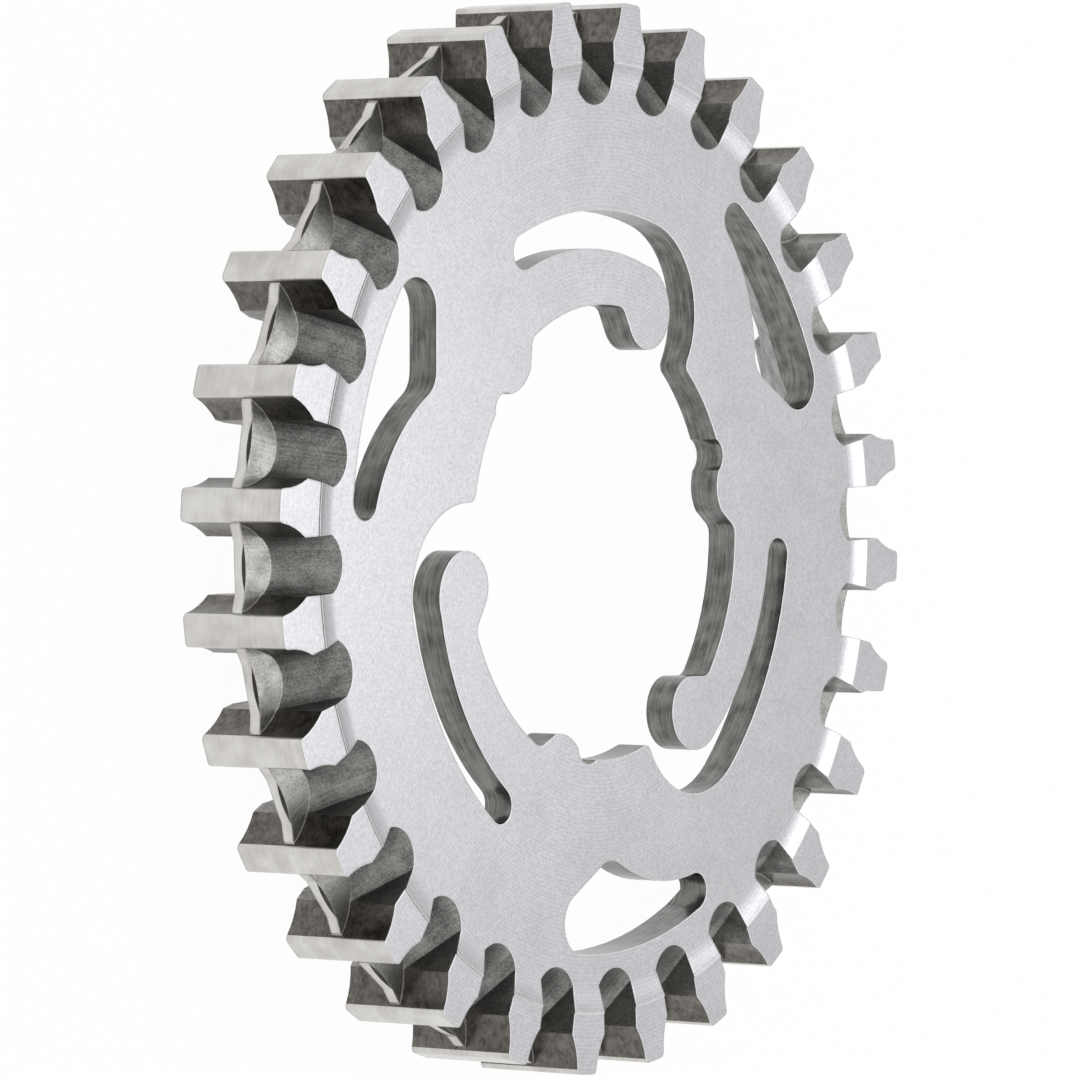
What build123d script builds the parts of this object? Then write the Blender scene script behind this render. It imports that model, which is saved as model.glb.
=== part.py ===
from build123d import *
from math import cos, radians, sin, sqrt, tan
import os

os.makedirs("parts", exist_ok=True)

# Belt drive sprocket for a centre-tracking toothed belt, cast in stainless steel as one piece and
# machined on the front. All lengths are in millimetres and all angles in degrees.
# Z is the axis of the wheel. The sprocket lies on the rear ends of its teeth at Z = 0, with the
# machined front up. The first tooth points along +Y, and angles run clockwise seen from the front.

# Belt and tooth sizes
tooth_count = 28
belt_pitch = 11.0
pitch_line_offset = 0.77    # pitch line of the belt above the tooth tips
tooth_width = 10.7          # along the axis, front faces to rear ends
shoulder_depth = 3.65       # tooth tip down to the sharp shoulder of the flank
gap_width = 5.0             # between the shoulders of two teeth
tip_gap = 7.9               # between two teeth at their tips, before the corners are rounded
flank_radius = 7.0          # hollow
tip_corner = 0.5

# Mud ports, the ramps that let dirt out of each tooth space to the front and to the rear
port_floor_radius = 2.95
port_angle = 45.0           # ramp against the plane of the wheel

# Centre fin that guides the belt
fin_thickness = 1.05
fin_depth = 1.28            # tooth tips down to the edge of the fin
fin_flat = 4.4              # straight part of the fin's edge between two teeth
fin_root_depth = 0.72       # tooth tips down to where the fin's edge runs into the flank
fin_bevel_length = 4.1      # lens-shaped bevel on the front of the fin's edge
fin_bevel_radius = 8.5

# Disc, raised rim and hollow rear
face_drop = 0.5             # hub face below the front faces of the teeth
plate_thickness = 2.9
lip_depth = 1.8             # tooth shoulder in to the lip around the dished band
lip_height = 0.1
dish_width = 2.45           # band that rises from the hub face to the lip
rear_land = 1.3             # tooth shoulder in to the edge of the rear hollow
rear_cone_angle = 47.5      # wall of the rear hollow against the plane of the wheel

# Bore, with a short run of wall and a lug in each third
fold_count = 3
bore_radius = 20.0
wall_start = 48.3
wall_end = 72.6
notch_depth = 0.45
notch_angle = 76.6
lug_start = 80.8
lug_angle = 86.6
lug_height = 1.5
lug_end = 92.1
lug_foot = 97.0
lug_fillet = 1.2

# Sprung arms, cut free from the disc by hooked slots
arm_relief = 1.0            # inside of the arms behind the bore wall
arm_tip_width = 4.5
arm_root_width = 5.7
slot_root_width = 3.2
slot_tip_width = 4.0
slot_start = -17.3
slot_end = 25.0
slot_sag = 0.4              # outer edge of the slot, mid way, inside its ends
pocket_fillet = 0.9

# Hook at the end of each arm
neck_angle = 16.9
neck_fillet = 1.3
hook_side_angle = 21.6
hook_side_radius = 19.0
hook_nose_angle = 31.8
hook_nose_radius = 18.45
hook_back_angle = 35.2
hook_back_radius = 23.2
hook_top_angle = 24.0

# Windows
window_margin = 1.4         # floor of the mud ports in to the window
window_start = 44.6
window_end = 74.3
window_tip_angle = 43.8
window_tip_width = 3.25
window_bend_angle = 66.6
window_bend_radius = 28.75
window_bow = 1.4            # bulge of the long inner edge
window_wide_end = 2.8
window_bend = 2.5

# Worked out from the sizes above
tip_radius = tooth_count * belt_pitch / radians(360) - pitch_line_offset
shoulder_radius = tip_radius - shoulder_depth
half_gap = gap_width / 2
floor_radius = shoulder_radius - port_floor_radius + sqrt(port_floor_radius**2 - half_gap**2)
fin_front = (tooth_width + fin_thickness) / 2
fin_rear = (tooth_width - fin_thickness) / 2
hub_face = tooth_width - face_drop
hub_rear = hub_face - plate_thickness
fin_bevel_offset = sqrt(fin_bevel_radius**2 - (fin_bevel_length / 2) ** 2)
fin_bevel_depth = fin_bevel_radius - fin_bevel_offset
port_front_radius = floor_radius - (hub_face - fin_front) / tan(radians(port_angle))
lip_radius = shoulder_radius - lip_depth
rear_edge = shoulder_radius - rear_land
rear_inner = rear_edge - hub_rear / tan(radians(rear_cone_angle))
arm_inner = bore_radius + arm_relief
slot_root = arm_inner + arm_root_width
window_outer = port_front_radius - window_margin
third = 360 / fold_count
spacing = 360 / tooth_count
beyond = 5.0                # cutters run this far past the metal


def at(angle, radius):
    """Point at an angle clockwise from the first tooth, at a radius from the axis"""
    return (radius * sin(radians(angle)), radius * cos(radians(angle)))


def concentric(start, end, radius):
    """Arc about the axis, from one angle to a later one"""
    return ThreePointArc(at(start, radius), at((start + end) / 2, radius), at(end, radius))


# Outline of a tooth space, across the full width of the wheel
tip_height = sqrt(tip_radius**2 - (tip_gap / 2) ** 2)
with BuildSketch() as tooth_space:
    with BuildLine():
        flank = RadiusArc((half_gap, shoulder_radius), (tip_gap / 2, tip_height), -flank_radius)
        Line(flank @ 1, (tip_gap / 2, tip_radius + beyond))
        Line((tip_gap / 2, tip_radius + beyond), (0, tip_radius + beyond))
        mirror(about=Plane.YZ)
        ThreePointArc((-half_gap, shoulder_radius), (0, floor_radius), (half_gap, shoulder_radius))
    make_face()

# Outline of the toothed wheel, with rounded tip corners
with BuildSketch() as tooth_ring:
    Circle(tip_radius)
    with PolarLocations(0, tooth_count, start_angle=spacing / 2):
        add(tooth_space.sketch, mode=Mode.SUBTRACT)
    tip_corners = tooth_ring.vertices().sort_by_distance((0, 0))[-2 * tooth_count:]
    fillet(tip_corners, radius=tip_corner)

# Dip of the fin's edge between two teeth
with BuildSketch() as fin_dip:
    with BuildLine():
        fin_root = (tip_gap / 2, tip_radius - fin_root_depth)
        fin_edge = Line((0, tip_radius - fin_depth), (fin_flat / 2, tip_radius - fin_depth))
        Line(fin_edge @ 1, fin_root)
        Line(fin_root, (tip_gap / 2, tip_radius + beyond))
        Line((tip_gap / 2, tip_radius + beyond), (0, tip_radius + beyond))
        mirror(about=Plane.YZ)
    make_face()

# Mud port, a slanted round-bottomed slot that starts on the face of the fin
with BuildSketch() as port_section:
    with BuildLine():
        Line((half_gap, shoulder_radius), (half_gap, tip_radius + beyond))
        Line((half_gap, tip_radius + beyond), (0, tip_radius + beyond))
        mirror(about=Plane.YZ)
        ThreePointArc((-half_gap, shoulder_radius), (0, floor_radius), (half_gap, shoulder_radius))
    make_face()

# Cutters for the ports, slanted inwards as they leave the fin
port_slant = (0, -cos(radians(port_angle)), sin(radians(port_angle)))
with BuildPart() as front_port:
    with BuildSketch(Plane.XY.offset(fin_front)):
        add(port_section.sketch)
    extrude(amount=tooth_width, dir=port_slant)

with BuildPart() as rear_port:
    with BuildSketch(Plane.XY.offset(fin_rear)):
        add(port_section.sketch)
    extrude(amount=tooth_width, dir=(port_slant[0], port_slant[1], -port_slant[2]))

# Centre fin, with a lens-shaped bevel on the front of its edge between each two teeth
with BuildPart() as fin:
    with BuildSketch(Plane.XY.offset(fin_rear)):
        Circle(tip_radius - fin_root_depth)
        Circle(floor_radius - beyond / 4, mode=Mode.SUBTRACT)
        with PolarLocations(0, tooth_count, start_angle=spacing / 2):
            add(fin_dip.sketch, mode=Mode.SUBTRACT)
    extrude(amount=fin_thickness)
    bevel_centre = tip_radius - fin_depth + fin_bevel_offset
    with PolarLocations(bevel_centre, tooth_count, start_angle=90 + spacing / 2):
        with Locations((0, 0, fin_front)):
            Cone(bottom_radius=fin_bevel_offset, top_radius=fin_bevel_radius, height=fin_bevel_depth,
                 align=(Align.CENTER, Align.CENTER, Align.MAX), mode=Mode.SUBTRACT)

# One third of the bore's outline, from the middle of one arm to the middle of the next
with BuildLine() as bore_third:
    neck = at(neck_angle, arm_inner)
    lug_corner = at(lug_foot, arm_inner)
    wall_corner = at(wall_start, bore_radius)
    concentric(0, neck_angle, arm_inner)
    side = Line(neck, at(hook_side_angle, hook_side_radius))
    nose = TangentArc(side @ 1, at(hook_nose_angle, hook_nose_radius), tangent=side % 1)
    back = TangentArc(nose @ 1, at(hook_back_angle, hook_back_radius), tangent=nose % 1)
    top = TangentArc(back @ 1, at(hook_top_angle, arm_inner + arm_tip_width), tangent=back % 1)
    root = at(slot_start, slot_root)
    arm_middle = at((slot_start + hook_top_angle) / 2, (slot_root + arm_inner + arm_tip_width) / 2)
    arm_edge = ThreePointArc(top @ 1, arm_middle, root)
    slot_far = at(slot_start, slot_root + slot_root_width)
    TangentArc(root, slot_far, tangent=arm_edge % 1)
    slot_mouth = at(slot_end, arm_inner + arm_tip_width + slot_tip_width)
    slot_middle = at((slot_start + slot_end) / 2, slot_root + slot_root_width - slot_sag)
    slot_edge = ThreePointArc(slot_far, slot_middle, slot_mouth)
    TangentArc(slot_mouth, wall_corner, tangent=slot_edge % 1)
    concentric(wall_start, wall_end, bore_radius)
    lug_base = at(lug_start, bore_radius - lug_height / 2)
    ThreePointArc(at(wall_end, bore_radius), at(notch_angle, bore_radius + notch_depth), lug_base)
    lug_tip = at(lug_angle, bore_radius - lug_height)
    lug_side = at(lug_end, bore_radius - 0.7 * lug_height)
    ThreePointArc(lug_base, lug_tip, lug_side)
    Line(lug_side, lug_corner)
    concentric(lug_foot, third, arm_inner)
    fillet(bore_third.vertices().sort_by_distance(neck)[0], radius=neck_fillet)
    fillet(bore_third.vertices().sort_by_distance(wall_corner)[0], radius=pocket_fillet)
    fillet(bore_third.vertices().sort_by_distance(lug_corner)[0], radius=lug_fillet)

with BuildSketch() as bore_outline:
    with BuildLine():
        with PolarLocations(0, fold_count):
            add(bore_third.line)
    make_face()

# Window outline, bow-sided, with a full round at each end
with BuildSketch() as window:
    with BuildLine():
        bend = at(window_bend_angle, window_bend_radius)
        tip = at(window_tip_angle, window_outer - window_tip_width)
        wide_centre = at(window_end, window_outer - window_wide_end)
        wide_end = CenterArc(wide_centre, window_wide_end, 0, 360, mode=Mode.PRIVATE)
        rim_edge = concentric(window_start, window_end, window_outer)
        lower = ConstrainedLines(wide_end, bend, selector=lambda lines: lines.sort_by_distance(tip)[-1])
        TangentArc(rim_edge @ 1, lower.vertices().sort_by_distance(bend)[-1], tangent=rim_edge % 1)
        SagittaArc(bend, tip, -window_bow)
        TangentArc(rim_edge @ 0, tip, tangent=-(rim_edge % 0))
    make_face()
    fillet(window.vertices().sort_by_distance(bend)[0], radius=window_bend)

with BuildPart() as belt_sprocket:
    # Turned blank: flat hub, dished band with its lip, plain rim and a hollow rear
    with BuildSketch(Plane.XZ):
        with BuildLine():
            Polyline(
                (arm_inner - beyond, hub_face),
                (lip_radius - dish_width, hub_face),
                (lip_radius, tooth_width + lip_height),
                (lip_radius, tooth_width),
                (tip_radius + beyond, tooth_width),
                (tip_radius + beyond, 0),
                (rear_edge, 0),
                (rear_inner, hub_rear),
                (arm_inner - beyond, hub_rear),
                close=True,
            )
        make_face()
    revolve(axis=Axis.Z)

    # Teeth
    add(tooth_ring.sketch)
    extrude(amount=tooth_width + lip_height, mode=Mode.INTERSECT)

    # The fin, rooted in the rim and in the flanks of the teeth
    add(fin.part)

    # Mud ports to the front and the rear
    with PolarLocations(0, tooth_count, start_angle=spacing / 2):
        add(front_port.part, mode=Mode.SUBTRACT)
        add(rear_port.part, mode=Mode.SUBTRACT)

    # Bore, slots and windows, cut right through
    with BuildSketch(Plane.XY.offset(hub_rear - beyond)):
        add(bore_outline.sketch)
        with PolarLocations(0, fold_count):
            add(window.sketch)
    extrude(amount=plate_thickness + 2 * beyond, mode=Mode.SUBTRACT)

belt_sprocket.part.label = "belt_sprocket"
export_step(belt_sprocket.part, "parts/belt_sprocket.step")
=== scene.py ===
import bpy
import math
from mathutils import Matrix, Vector

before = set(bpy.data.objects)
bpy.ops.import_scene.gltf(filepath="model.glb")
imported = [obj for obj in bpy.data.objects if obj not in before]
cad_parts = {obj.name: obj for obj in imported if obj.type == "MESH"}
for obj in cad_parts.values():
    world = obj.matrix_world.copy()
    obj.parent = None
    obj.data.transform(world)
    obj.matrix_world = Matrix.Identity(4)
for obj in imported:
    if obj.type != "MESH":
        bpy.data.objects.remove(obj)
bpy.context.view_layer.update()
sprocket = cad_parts["belt_sprocket"]
mm = 0.001                                  # the frame is in metres

# The sprocket lies on the rear ends of its teeth, its axis along Z and the first tooth towards +Y.
# Heights and radii in mm: these only say which face gets which finish.
wheel = {
    "hubFace": 10.2, "hubRear": 7.3,        # heights of the disc's two faces
    "dish": (40.35, 42.8), "dishRise": 0.6,     # band between the hub face and the lip
    "finFaces": (4.8, 5.9), "finEdge": 46.6,    # heights around the fin, radius of its edge
    "portFloor": 38.3, "shoulder": 44.4, "tipStart": 47.75,     # radii
    "near": 0.1,                            # two heights closer than this are the same
}


def hexColour(code):
    channels = [int(code[i:i + 2], 16) / 255 for i in (1, 3, 5)]
    linear = [c / 12.92 if c <= 0.04045 else ((c + 0.055) / 1.055) ** 2.4 for c in channels]
    return (*linear, 1.0)


def addNode(tree, kind, settings=None, **sockets):
    # A socket is set to a value, or linked where the value is another node's output; _2 is input number 2.
    node = tree.nodes.new(kind)
    for name, value in (settings or {}).items():
        setattr(node, name, value)
    for name, value in sockets.items():
        key = int(name[1:]) if name[0] == "_" else name.replace("_", " ")
        if isinstance(value, bpy.types.NodeSocket):
            tree.links.new(value, node.inputs[key])
        else:
            node.inputs[key].default_value = value
    return node


def newMaterial(name):
    material = bpy.data.materials.new(name)
    material.use_nodes = True
    material.node_tree.nodes.clear()
    return material, material.node_tree


print("materials")

noiseSpread = (0.3, 0.7)                    # most of a noise pattern lies between these
cornerSamples = 6

# Stainless steel, face-turned then lightly blasted: an even silvery satin, finely speckled, with faint rings.
# Sizes in mm; rings and grain are twice as coarse as real, or they wouldn't show.
turned = {
    "colour": "#D9D9DC", "shade": "#BFBFC3", "edgeHighlight": "#FCFCFC", "roughness": (0.30, 0.38),
    "ringPitch": 0.36, "ringShare": 0.12, "grain": 0.24, "cloud": 5.0, "relief": 0.0022, "edge": 0.24,
    "highlightBand": (0.98, 0.88),                # cosine to the true normal where the painted highlight starts and is full
}


def turnedStainless():
    material, tree = newMaterial("turned_stainless_steel")
    place = addNode(tree, "ShaderNodeTexCoord").outputs["Object"]
    flat = addNode(tree, "ShaderNodeVectorMath", {"operation": "MULTIPLY"}, _0=place, _1=(1, 1, 0))
    radius = addNode(tree, "ShaderNodeVectorMath", {"operation": "LENGTH"}, _0=flat.outputs[0]).outputs["Value"]
    turns = addNode(tree, "ShaderNodeMath", {"operation": "MULTIPLY"}, _0=radius,
                    _1=2 * math.pi / (turned["ringPitch"] * mm))
    wave = addNode(tree, "ShaderNodeMath", {"operation": "SINE"}, _0=turns.outputs[0])
    rings = addNode(tree, "ShaderNodeMapRange", None, Value=wave.outputs[0], _1=-1.0, _2=1.0)
    grain = addNode(tree, "ShaderNodeTexNoise", None, Vector=place, Scale=1 / (turned["grain"] * mm),
                    Detail=2.0, Roughness=0.6)
    cloud = addNode(tree, "ShaderNodeTexNoise", None, Vector=place, Scale=1 / (turned["cloud"] * mm),
                    Detail=3.0)
    relief = addNode(tree, "ShaderNodeMix", None, Factor=turned["ringShare"], _2=grain.outputs["Fac"],
                     _3=rings.outputs[0])
    tone = addNode(tree, "ShaderNodeMapRange", None, Value=relief.outputs[0], _1=noiseSpread[0],
                   _2=noiseSpread[1])
    colour = addNode(tree, "ShaderNodeMix", {"data_type": "RGBA"}, Factor=tone.outputs[0],
                     _6=hexColour(turned["shade"]), _7=hexColour(turned["colour"]))
    rough = addNode(tree, "ShaderNodeMapRange", None, Value=cloud.outputs["Fac"], _1=noiseSpread[0],
                    _2=noiseSpread[1], _3=turned["roughness"][0], _4=turned["roughness"][1])
    edge = addNode(tree, "ShaderNodeBevel", {"samples": cornerSamples}, Radius=turned["edge"] * mm)
    # Cut edges get a painted highlight, a thin bright line found where the rounded normal leaves the true one.
    trueNormal = addNode(tree, "ShaderNodeNewGeometry").outputs["True Normal"]
    together = addNode(tree, "ShaderNodeVectorMath", {"operation": "DOT_PRODUCT"}, _0=edge.outputs[0],
                       _1=trueNormal)
    paintedHighlight = addNode(tree, "ShaderNodeMapRange", None, Value=together.outputs["Value"],
                   _1=turned["highlightBand"][0], _2=turned["highlightBand"][1])
    highlightedColour = addNode(tree, "ShaderNodeMix", {"data_type": "RGBA"}, Factor=paintedHighlight.outputs[0],
                     _6=colour.outputs[2], _7=hexColour(turned["edgeHighlight"]))
    # The dished band is a cone: this hollows it, flat at the hub face and twice as steep at the lip.
    dish = addNode(tree, "ShaderNodeMapRange", None, Value=radius, _1=wheel["dish"][0] * mm,
                   _2=wheel["dish"][1] * mm)
    hollow = addNode(tree, "ShaderNodeMath", {"operation": "MULTIPLY"}, _0=dish.outputs[0],
                     _1=dish.outputs[0])
    sag = addNode(tree, "ShaderNodeMath", {"operation": "SUBTRACT"}, _0=hollow.outputs[0],
                  _1=dish.outputs[0])
    smooth = addNode(tree, "ShaderNodeBump", None, Height=sag.outputs[0], Distance=wheel["dishRise"] * mm,
                     Strength=1.0, Normal=edge.outputs[0])
    bump = addNode(tree, "ShaderNodeBump", None, Height=relief.outputs[0], Distance=turned["relief"] * mm,
                   Strength=1.0, Normal=smooth.outputs[0])
    shader = addNode(tree, "ShaderNodeBsdfPrincipled", None, Base_Color=highlightedColour.outputs[2], Metallic=1.0,
                     Roughness=rough.outputs[0], Normal=bump.outputs[0])
    addNode(tree, "ShaderNodeOutputMaterial", None, Surface=shader.outputs[0])
    return material


# Stainless steel as cast and shot-blasted, mottled like fine sandpaper; its soft grey is darker than the steel's
# own, painted shade that stands in for dark reflections.
# The grit is about twice as coarse as real, and the draw lines down the ramps are too.
cast = {
    "light": "#A8A7A4", "dark": "#6B6967", "roughness": (0.36, 0.48), "edge": 0.16,
    "grit": 0.18, "stain": 1.6, "draw": 0.24, "relief": 0.010,
}

# The same casting on the faces of the fin, worn by the belt: lighter, with softer edges
fin = {
    "light": "#CBCAC6", "dark": "#95938F", "roughness": (0.34, 0.44), "edge": 0.30,
    "grit": 0.18, "stain": 1.6, "draw": 0.24, "relief": 0.010,
}

castMix = {"drawShare": 0.35, "coarseShare": 0.5, "spread": (0.40, 0.60)}


def castStainless(name, finish):
    material, tree = newMaterial(name)
    place = addNode(tree, "ShaderNodeTexCoord").outputs["Object"]
    grit = addNode(tree, "ShaderNodeTexNoise", None, Vector=place, Scale=1 / (finish["grit"] * mm),
                   Detail=3.0, Roughness=0.65)
    stain = addNode(tree, "ShaderNodeTexNoise", None, Vector=place, Scale=1 / (finish["stain"] * mm),
                    Detail=4.0)
    # Faint lines that run down the ramps, from a pattern that changes around the wheel only
    flat = addNode(tree, "ShaderNodeVectorMath", {"operation": "MULTIPLY"}, _0=place, _1=(1, 1, 0))
    around = addNode(tree, "ShaderNodeVectorMath", {"operation": "NORMALIZE"}, _0=flat.outputs[0])
    draw = addNode(tree, "ShaderNodeTexNoise", None, Vector=around.outputs[0],
                   Scale=wheel["shoulder"] / finish["draw"], Detail=2.0)
    coarse = addNode(tree, "ShaderNodeMix", None, Factor=castMix["drawShare"], _2=stain.outputs["Fac"],
                     _3=draw.outputs["Fac"])
    mottle = addNode(tree, "ShaderNodeMix", None, Factor=castMix["coarseShare"], _2=grit.outputs["Fac"],
                     _3=coarse.outputs[0])
    tone = addNode(tree, "ShaderNodeMapRange", None, Value=mottle.outputs[0], _1=castMix["spread"][0],
                   _2=castMix["spread"][1])
    colour = addNode(tree, "ShaderNodeMix", {"data_type": "RGBA"}, Factor=tone.outputs[0],
                     _6=hexColour(finish["dark"]), _7=hexColour(finish["light"]))
    rough = addNode(tree, "ShaderNodeMapRange", None, Value=stain.outputs["Fac"], _1=noiseSpread[0],
                    _2=noiseSpread[1], _3=finish["roughness"][1], _4=finish["roughness"][0])
    edge = addNode(tree, "ShaderNodeBevel", {"samples": cornerSamples}, Radius=finish["edge"] * mm)
    bump = addNode(tree, "ShaderNodeBump", None, Height=grit.outputs["Fac"], Distance=finish["relief"] * mm,
                   Strength=1.0, Normal=edge.outputs[0])
    shader = addNode(tree, "ShaderNodeBsdfPrincipled", None, Base_Color=colour.outputs[2], Metallic=1.0,
                     Roughness=rough.outputs[0], Normal=bump.outputs[0])
    addNode(tree, "ShaderNodeOutputMaterial", None, Surface=shader.outputs[0])
    return material


# Stainless steel cut with the side of an end mill: smooth, with fine lines that follow the outline, and painted
# dark as painted shade that stands in for dark reflections.
# Here and below a line is about twice as wide as a real tool mark, or it wouldn't show.
milled = {
    "light": "#8E8C89", "dark": "#575553", "roughness": (0.20, 0.30), "edge": 0.16,
    "line": 0.20, "length": 3.5, "lineShare": 0.50, "stain": 1.4, "relief": 0.004,
}

# Stainless steel flanks as cast and wiped by the belt: smooth and blotched, and painted dark as painted shade
# that stands in for dark reflections
flank = {
    "light": "#7C7873", "dark": "#4C4946", "roughness": (0.24, 0.36), "edge": 0.16,
    "line": 0.26, "length": 0.5, "lineShare": 0.45, "stain": 0.9, "relief": 0.006,
}

# Stainless steel turned on the rim, the tooth tips and the edge of the fin: bright, with faint lines around
rim = {
    "light": "#DBD9D5", "dark": "#C0BDB9", "roughness": (0.20, 0.30), "edge": 0.30,
    "line": 0.30, "length": 6.0, "lineShare": 0.25, "stain": 2.4, "relief": 0.002,
}

# Stainless steel cut with a chamfer mill, the small bevel of the fin: mirror-smooth, painted nearly black as a
# painted shadow along the fin's edge
bevel = {
    "light": "#5C5A58", "dark": "#3E3D3B", "roughness": (0.12, 0.18), "edge": 0.05,
    "line": 0.20, "length": 2.0, "lineShare": 0.50, "stain": 1.0, "relief": 0.001,
}

lineSpread = (0.36, 0.64)


def linedStainless(name, finish):
    material, tree = newMaterial(name)
    place = addNode(tree, "ShaderNodeTexCoord").outputs["Object"]
    share = finish["line"] / finish["length"]       # the pattern is drawn out by this in the wheel's plane
    along = addNode(tree, "ShaderNodeVectorMath", {"operation": "MULTIPLY"}, _0=place,
                    _1=(share, share, 1))
    lines = addNode(tree, "ShaderNodeTexNoise", None, Vector=along.outputs[0],
                    Scale=1 / (finish["line"] * mm), Detail=2.0, Roughness=0.6)
    stain = addNode(tree, "ShaderNodeTexNoise", None, Vector=place, Scale=1 / (finish["stain"] * mm),
                    Detail=4.0)
    mottle = addNode(tree, "ShaderNodeMix", None, Factor=finish["lineShare"], _2=stain.outputs["Fac"],
                     _3=lines.outputs["Fac"])
    tone = addNode(tree, "ShaderNodeMapRange", None, Value=mottle.outputs[0], _1=lineSpread[0],
                   _2=lineSpread[1])
    colour = addNode(tree, "ShaderNodeMix", {"data_type": "RGBA"}, Factor=tone.outputs[0],
                     _6=hexColour(finish["dark"]), _7=hexColour(finish["light"]))
    rough = addNode(tree, "ShaderNodeMapRange", None, Value=stain.outputs["Fac"], _1=noiseSpread[0],
                    _2=noiseSpread[1], _3=finish["roughness"][0], _4=finish["roughness"][1])
    edge = addNode(tree, "ShaderNodeBevel", {"samples": cornerSamples}, Radius=finish["edge"] * mm)
    bump = addNode(tree, "ShaderNodeBump", None, Height=lines.outputs["Fac"], Distance=finish["relief"] * mm,
                   Strength=1.0, Normal=edge.outputs[0])
    shader = addNode(tree, "ShaderNodeBsdfPrincipled", None, Base_Color=colour.outputs[2], Metallic=1.0,
                     Roughness=rough.outputs[0], Normal=bump.outputs[0])
    addNode(tree, "ShaderNodeOutputMaterial", None, Surface=shader.outputs[0])
    return material


finishes = {
    "turned": turnedStainless(),
    "cast": castStainless("blasted_cast_steel_painted_shade", cast),
    "milled": linedStainless("milled_steel_painted_shade", milled),
    "flank": linedStainless("flank_steel_painted_shade", flank),
    "rim": linedStainless("rim_turned_stainless_steel", rim),
    "bevel": linedStainless("bevel_painted_shadow_steel", bevel),
    "fin": castStainless("worn_fin_steel", fin),
}
slots = list(finishes)
sprocket.data.materials.clear()
for slot in slots:
    sprocket.data.materials.append(finishes[slot])

# How far a face looks up the axis, or out from it: 1 is straight that way and 0 is square to it.
facing = {"flat": 0.9, "sloped": 0.2, "bevel": 0.5, "outward": 0.75}


def finishOf(polygon):
    centre = polygon.center / mm
    radius = math.hypot(centre.x, centre.y)
    up = polygon.normal.z
    outward = (polygon.normal.x * centre.x + polygon.normal.y * centre.y) / radius
    onFin = wheel["finFaces"][0] < centre.z < wheel["finFaces"][1]
    pastFinEdge = radius > wheel["finEdge"]
    onRear = abs(centre.z - wheel["hubRear"]) < wheel["near"] or centre.z < wheel["near"]
    if up > facing["flat"] and centre.z > wheel["hubFace"] - wheel["near"]:
        return "turned"
    if up < -facing["flat"] and onRear:
        return "turned"
    if onFin and pastFinEdge and outward > facing["bevel"] and facing["bevel"] < up < facing["flat"]:
        return "bevel"
    if onFin and up > facing["flat"]:
        return "fin"
    if abs(up) > facing["sloped"]:
        return "cast"
    if radius > wheel["tipStart"] or (onFin and pastFinEdge and outward > facing["outward"]):
        return "rim"
    if radius > wheel["shoulder"]:
        return "flank"
    return "milled" if radius < wheel["portFloor"] else "cast"


for polygon in sprocket.data.polygons:
    polygon.material_index = slots.index(finishOf(polygon))

print("studio")

# Directions are degrees clockwise from the first tooth, then degrees above the floor. Lengths are in metres.
studio = {
    "floorColour": "#F4F4F4", "floorSize": 3.0,
    "floorWhite": 0.97,                     # share of plain white that the camera and the steel see on the floor
    "surroundings": 0.75,                   # level of the plain room
    # Each patch of the room is full up to the first angle from its middle and gone at the second.
    "patches": [
        {"towards": (100, 86), "fade": (12, 46), "level": 1.40},     # bright ceiling panel
        {"towards": (280, 38), "fade": (25, 80), "level": 0.72},     # darker flag above the camera
    ],
    "softbox": {"place": (0.112, -0.01, 0.20), "size": 0.12, "power": 0.052},
}


def stageFloor():
    bpy.ops.mesh.primitive_plane_add(size=studio["floorSize"])
    floor = bpy.context.object
    floor.name = "floor"
    material, tree = newMaterial("painted_floor")
    paint = addNode(tree, "ShaderNodeBsdfDiffuse", None, Color=hexColour(studio["floorColour"]))
    white = addNode(tree, "ShaderNodeEmission", None, Color=(1, 1, 1, 1), Strength=1.0)
    path = addNode(tree, "ShaderNodeLightPath")
    # The camera, reflections and see-through things get plain white; the light the floor casts is the paint's.
    mirrored = addNode(tree, "ShaderNodeMath", {"operation": "MAXIMUM"}, _0=path.outputs["Is Glossy Ray"],
                       _1=path.outputs["Is Transmission Ray"])
    direct = addNode(tree, "ShaderNodeMath", {"operation": "MAXIMUM"}, _0=path.outputs["Is Camera Ray"],
                     _1=mirrored.outputs[0])
    share = addNode(tree, "ShaderNodeMath", {"operation": "MULTIPLY"}, _0=direct.outputs[0],
                    _1=studio["floorWhite"])
    seen = addNode(tree, "ShaderNodeMixShader", None, _0=share.outputs[0], _1=paint.outputs[0],
                   _2=white.outputs[0])
    addNode(tree, "ShaderNodeOutputMaterial", None, Surface=seen.outputs[0])
    floor.data.materials.append(material)


def direction(azimuth, elevation):
    azimuth, elevation = math.radians(azimuth), math.radians(elevation)
    level = math.cos(elevation)
    return (math.sin(azimuth) * level, math.cos(azimuth) * level, math.sin(elevation))


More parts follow.
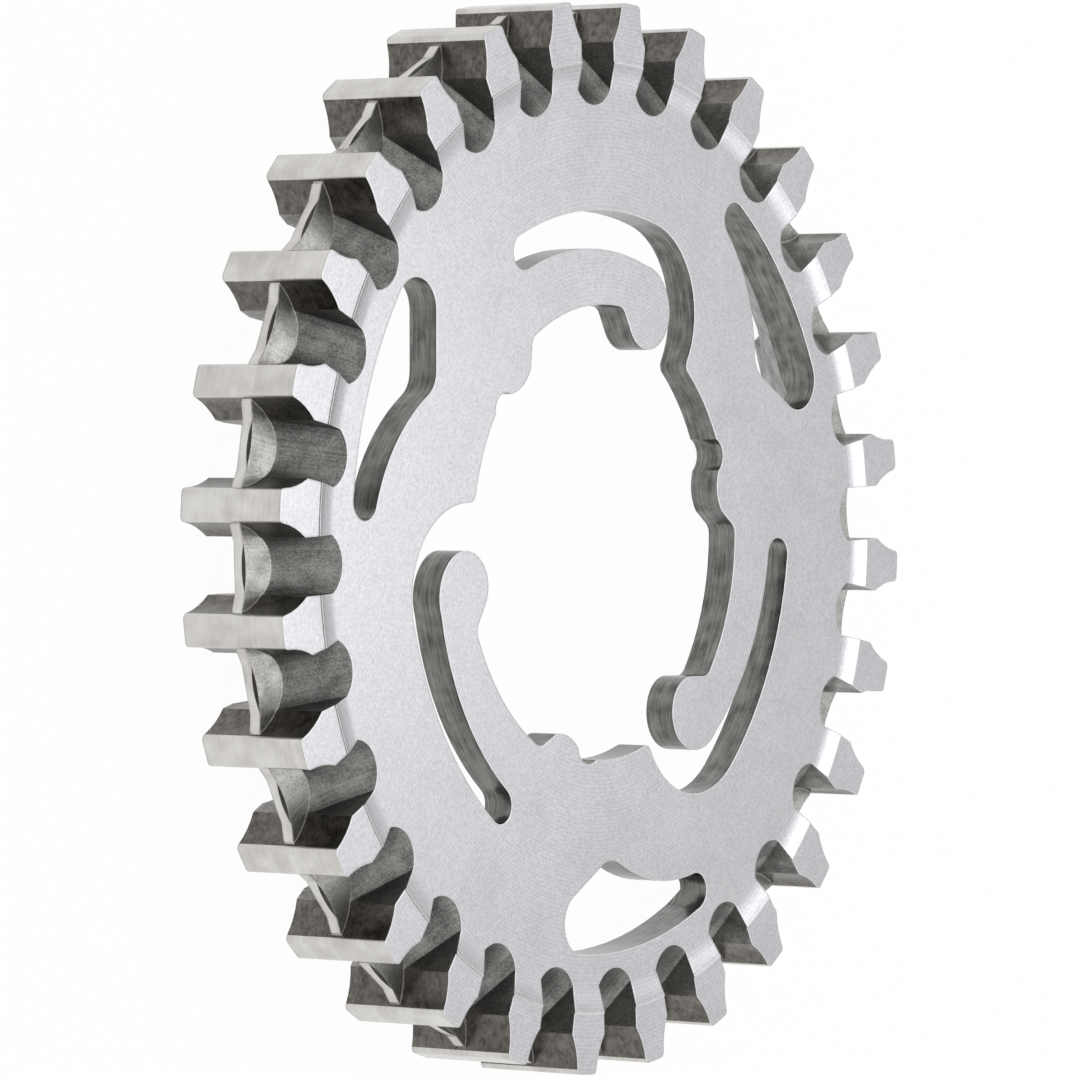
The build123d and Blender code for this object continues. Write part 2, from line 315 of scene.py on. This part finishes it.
def stageRoom():
    world = bpy.data.worlds.new("studio")
    bpy.context.scene.world = world
    world.use_nodes = True
    tree = world.node_tree
    tree.nodes.clear()
    way = addNode(tree, "ShaderNodeTexCoord").outputs["Generated"]
    plain = addNode(tree, "ShaderNodeValue")
    plain.outputs[0].default_value = studio["surroundings"]
    level = plain.outputs[0]
    for patch in studio["patches"]:
        closeness = addNode(tree, "ShaderNodeVectorMath", {"operation": "DOT_PRODUCT"}, _0=way,
                            _1=direction(*patch["towards"]))
        full, gone = (math.cos(math.radians(angle)) for angle in patch["fade"])
        share = addNode(tree, "ShaderNodeMapRange", {"interpolation_type": "SMOOTHSTEP"},
                        Value=closeness.outputs["Value"], _1=gone, _2=full)
        mixed = addNode(tree, "ShaderNodeMix", None, Factor=share.outputs[0], _2=level, _3=patch["level"])
        level = mixed.outputs[0]
    lit = addNode(tree, "ShaderNodeBackground", None, Color=(1, 1, 1, 1), Strength=level)
    addNode(tree, "ShaderNodeOutputWorld", None, Surface=lit.outputs[0])


def hangLamp(name, lamp):
    light = bpy.data.lights.new(name, "AREA")
    light.shape = "DISK"
    light.size = lamp["size"]
    light.energy = lamp["power"]
    holder = bpy.data.objects.new(name, light)
    holder.location = lamp["place"]
    holder.visible_camera = False
    holder.rotation_euler = (-Vector(lamp["place"])).to_track_quat("-Z", "Y").to_euler()
    bpy.context.scene.collection.objects.link(holder)


camera = {
    "position": (-475.9, 84.3, 349.4),      # mm from the wheel's axis at the floor
    "lookAt": (-10.06, 1.64, 10.2),
    "roll": 90.76,                          # degrees; the wheel's axis points to the right
    "fieldOfView": 9.389,                   # degrees across the square picture
    "nearest": 0.01,                        # metres; nothing closer is drawn
}


def setCamera():
    data = bpy.data.cameras.new("camera")
    data.sensor_fit = "HORIZONTAL"
    data.angle = math.radians(camera["fieldOfView"])
    data.clip_start = camera["nearest"]
    holder = bpy.data.objects.new("camera", data)
    bpy.context.scene.collection.objects.link(holder)
    place = Vector(camera["position"]) * mm
    look = Vector(camera["lookAt"]) * mm - place
    upright = look.to_track_quat("-Z", "Y").to_matrix().to_4x4()
    roll = Matrix.Rotation(math.radians(camera["roll"]), 4, "Z")
    holder.matrix_world = Matrix.Translation(place) @ upright @ roll
    bpy.context.scene.camera = holder


stageFloor()
stageRoom()
hangLamp("softbox", studio["softbox"])
setCamera()
bpy.context.scene.view_settings.view_transform = "Standard"

print("done")
